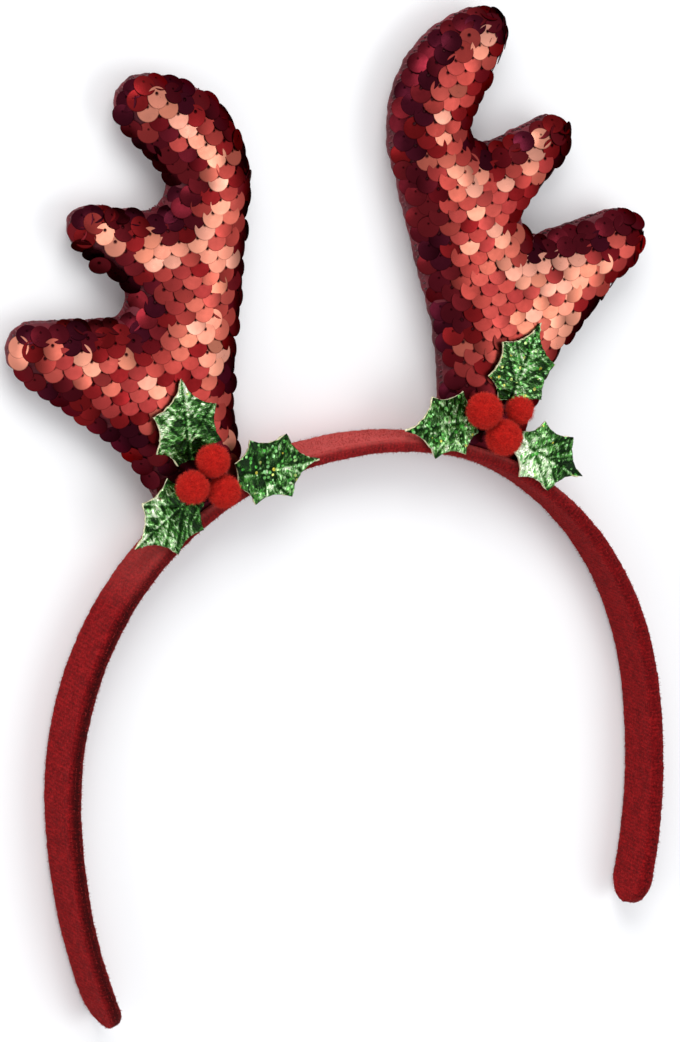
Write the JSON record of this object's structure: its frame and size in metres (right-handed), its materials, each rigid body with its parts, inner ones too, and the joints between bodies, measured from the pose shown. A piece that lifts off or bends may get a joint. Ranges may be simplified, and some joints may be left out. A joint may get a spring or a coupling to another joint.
{
  "type": "reindeer antler headband",
  "caption": "Flexible felt-covered head arch that carries two stuffed sequined antlers, each with holly leaves and pompom berries at its foot.",
  "frame": {"origin": "on the band's flat back edge, at the middle of its crown", "axes": "+X towards the wearer's left, +Y the wearer's up, from the band's tips to the antlers, +Z the wearer's front, away from the surface that the headband lies on"},
  "size_m": [0.1557, 0.2066, 0.0221],
  "materials": {
    "red_felt": "fuzzy knitted felt",
    "red_sequins": "overlapping metallic sequins on cloth",
    "green_foil": "crinkled metallic foil on cloth",
    "red_pompom": "dense wool tufts"
  },
  "bodies": {
    "root": {"band": "red_felt", "antler_left": "red_sequins", "antler_right": "red_sequins", "holly_leaf_left_1": "green_foil", "holly_leaf_left_2": "green_foil", "holly_leaf_left_3": "green_foil", "holly_leaf_right_1": "green_foil", "holly_leaf_right_2": "green_foil", "holly_leaf_right_3": "green_foil", "berry_left_1": "red_pompom", "berry_left_2": "red_pompom", "berry_left_3": "red_pompom", "berry_right_1": "red_pompom", "berry_right_2": "red_pompom", "berry_right_3": "red_pompom"}
  },
  "joints": []
}
